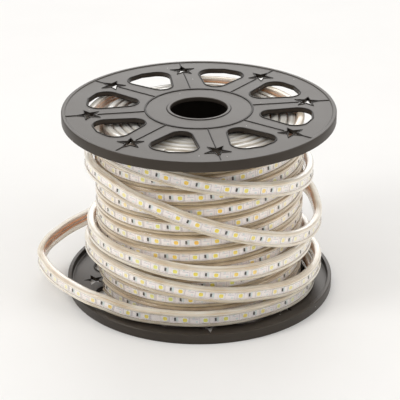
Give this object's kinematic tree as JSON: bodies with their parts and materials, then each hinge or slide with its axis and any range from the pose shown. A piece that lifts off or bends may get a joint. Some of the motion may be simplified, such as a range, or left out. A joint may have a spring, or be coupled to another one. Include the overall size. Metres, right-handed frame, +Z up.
{
  "type": "led strip light",
  "caption": "Sleeved LED strip wound on a plastic reel that stands on its lower flange, with its outer turns crossing and one loose loop at the side.",
  "frame": {"origin": "on the reel's axis, at the level of the floor that the lower flange stands on", "axes": "+Z up along the reel's axis, -Y towards the side where the strip's last turns cross, -X towards the loose loop"},
  "size_m": [0.2568, 0.23, 0.1614],
  "materials": {
    "black_plastic": "moulded, satin",
    "clear_sleeve": "translucent flexible sleeve"
  },
  "bodies": {
    "root": {"bottom_flange": "black_plastic", "top_flange": "black_plastic", "core_barrel": "black_plastic", "strip_winding": "clear_sleeve", "outer_layer": "clear_sleeve", "upper_wrap": "clear_sleeve", "lower_wrap": "clear_sleeve", "strip_loop": "clear_sleeve", "front_wrap": "clear_sleeve"}
  },
  "joints": []
}
